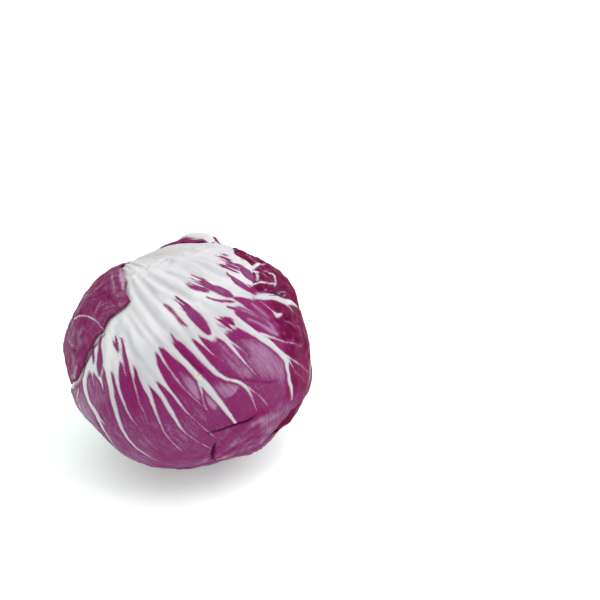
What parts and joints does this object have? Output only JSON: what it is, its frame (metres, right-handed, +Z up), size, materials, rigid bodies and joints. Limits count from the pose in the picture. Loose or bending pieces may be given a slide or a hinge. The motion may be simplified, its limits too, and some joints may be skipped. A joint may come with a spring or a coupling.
{
  "type": "radicchio head",
  "caption": "Round head of red radicchio lying on its side, magenta leaves with white ribs wrapped round a cut stem.",
  "frame": {"origin": "centre of the flat spot that the head rests on, under its middle", "axes": "+Z up from the resting spot; the cut stem points to -X and +Y and 29 degrees up, the front leaf faces -Y and up"},
  "size_m": [0.1237, 0.1199, 0.1122],
  "materials": {
    "outer_leaf": "waxy crimson leaf, satin, with thick white ribs that fan out from the stem",
    "inner_leaf": "paler, thinner crimson leaf with white ribs, satin",
    "core": "cream core, matt, with a browned cut face"
  },
  "bodies": {
    "root": {"left_leaf": "outer_leaf", "broken_leaf": "outer_leaf", "front_leaf": "outer_leaf", "bottom_leaf": "outer_leaf", "right_leaf": "outer_leaf", "back_leaf": "outer_leaf", "wrapper_leaf_1": "outer_leaf", "wrapper_leaf_2": "outer_leaf", "wrapper_leaf_3": "outer_leaf", "wrapper_leaf_4": "outer_leaf", "wrapper_leaf_5": "outer_leaf", "inner_leaf_1": "inner_leaf", "inner_leaf_2": "inner_leaf", "inner_leaf_3": "inner_leaf", "inner_leaf_4": "inner_leaf", "inner_leaf_5": "inner_leaf", "inner_leaf_6": "inner_leaf", "inner_leaf_7": "inner_leaf", "inner_leaf_8": "inner_leaf", "heart": "inner_leaf", "core": "core"}
  },
  "joints": []
}
